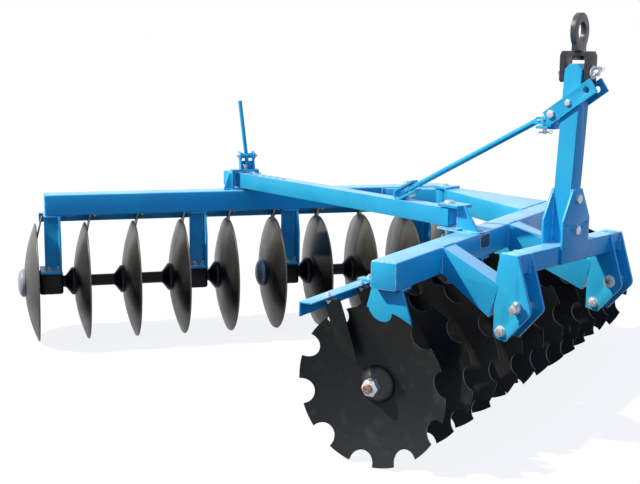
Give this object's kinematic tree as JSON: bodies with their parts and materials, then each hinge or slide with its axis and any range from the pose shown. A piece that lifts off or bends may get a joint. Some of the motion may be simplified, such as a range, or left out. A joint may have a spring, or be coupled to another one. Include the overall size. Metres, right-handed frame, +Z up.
{
  "type": "offset disc harrow",
  "caption": "Mounted offset disc harrow: notched front discs and plain rear discs under two angled toolbars, with a mast hitch and a lever-locked angle bar.",
  "frame": {"origin": "middle of the bounding box in plan, on the ground that the discs stand on", "axes": "+X towards the machine's left, +Y rearward, +Z up; the hitch is at the front, at -Y"},
  "size_m": [2.3298, 2.7737, 1.543],
  "materials": {
    "frame_blue": "gloss blue enamel",
    "disc_steel": "dark hardened steel",
    "hub_black": "satin black paint over cast iron",
    "scraper_black": "satin black",
    "yoke_black": "satin dark grey",
    "zinc": "zinc plated",
    "shaft_steel": "bare steel, lightly rusted"
  },
  "bodies": {
    "front_frame": {"front_toolbar": "frame_blue", "front_hangers": "frame_blue", "front_bearings": "hub_black", "front_scraper_bar": "frame_blue", "front_scraper_arms": "frame_blue", "front_scrapers": "scraper_black", "front_arm": "frame_blue", "hinge_bracket": "frame_blue", "hinge_pin": "zinc", "bar_bracket": "frame_blue", "bar_pin": "zinc", "hitch_beam": "frame_blue", "hitch_plates_right": "frame_blue", "link_pin_right": "zinc", "hitch_plates_left": "frame_blue", "link_pin_left": "zinc", "hitch_braces": "frame_blue", "mast_plates": "frame_blue", "mast": "frame_blue", "mast_straps": "frame_blue", "rod_clevis": "frame_blue", "clevis_pin": "zinc", "yoke_pin": "zinc"},
    "front_right_gang": {"front_right_discs": "disc_steel", "front_right_spools": "hub_black", "front_right_nut": "zinc", "front_right_shaft": "shaft_steel"},
    "front_left_gang": {"front_left_discs": "disc_steel", "front_left_spools": "hub_black", "front_left_nut": "zinc", "front_left_shaft": "shaft_steel"},
    "rear_frame": {"rear_toolbar": "frame_blue", "rear_hangers": "frame_blue", "rear_bearings": "hub_black", "rear_scraper_bar": "frame_blue", "rear_scraper_arms": "frame_blue", "rear_scrapers": "scraper_black", "rear_arm": "frame_blue", "lock_sleeve": "frame_blue", "lock_bracket": "frame_blue", "lock_lever": "frame_blue", "lock_pin": "zinc"},
    "rear_right_gang": {"rear_right_discs": "disc_steel", "rear_right_spools": "hub_black", "rear_right_nut": "zinc", "rear_right_shaft": "shaft_steel"},
    "rear_left_gang": {"rear_left_discs": "disc_steel", "rear_left_spools": "hub_black", "rear_left_nut": "zinc", "rear_left_shaft": "shaft_steel"},
    "angle_bar": {"angle_bar": "frame_blue", "rod_bracket": "frame_blue", "rod_bolt": "zinc"},
    "brace_rod": {"brace_rod": "frame_blue"},
    "top_yoke": {"top_yoke": "yoke_black"},
    "top_eye": {"top_eye": "yoke_black"}
  },
  "joints": [
    {"name": "front_right_gang_spin", "type": "hinge", "parent": "front_frame", "child": "front_right_gang", "pos_m": [-0.50265, -0.95667, 0.28], "axis": [0.9791, 0.2035, 0], "continuous": true},
    {"name": "front_left_gang_spin", "type": "hinge", "parent": "front_frame", "child": "front_left_gang", "pos_m": [0.6233, -0.72268, 0.28], "axis": [0.9791, 0.2035, 0], "continuous": true},
    {"name": "rear_right_gang_spin", "type": "hinge", "parent": "rear_frame", "child": "rear_right_gang", "pos_m": [-0.39655, 0.90472, 0.28], "axis": [0.8491, -0.5283, 0], "continuous": true},
    {"name": "rear_left_gang_spin", "type": "hinge", "parent": "rear_frame", "child": "rear_left_gang", "pos_m": [0.57987, 0.29718, 0.28], "axis": [0.8491, -0.5283, 0], "continuous": true},
    {"name": "rear_frame_swing", "type": "hinge", "parent": "front_frame", "child": "rear_frame", "pos_m": [0.84698, -0.01527, 0.652], "axis": [0, 0, 1], "range_deg": [0, 20]},
    {"name": "angle_bar_swing", "type": "hinge", "parent": "front_frame", "child": "angle_bar", "pos_m": [-0.14203, -0.76627, 0.75], "axis": [0, 0, 1], "range_deg": [0, 6.43]},
    {"name": "brace_rod_swing", "type": "hinge", "parent": "front_frame", "child": "brace_rod", "pos_m": [-0.08803, -1.15427, 1.14], "axis": [0, 0, 1], "range_deg": [0, 2.38]},
    {"name": "top_yoke_tilt", "type": "hinge", "parent": "front_frame", "child": "top_yoke", "pos_m": [-0.08803, -1.28087, 1.331], "axis": [0, 1, 0], "range_deg": [-15, 15]},
    {"name": "top_eye_swivel", "type": "hinge", "parent": "top_yoke", "child": "top_eye", "pos_m": [-0.08803, -1.28087, 1.406], "axis": [0, 0, 1], "continuous": true}
  ],
  "couplings": [
    {"joint": "angle_bar_swing", "follows": "rear_frame_swing", "ratio": 0.32145},
    {"joint": "brace_rod_swing", "follows": "rear_frame_swing", "ratio": 0.11907}
  ]
}
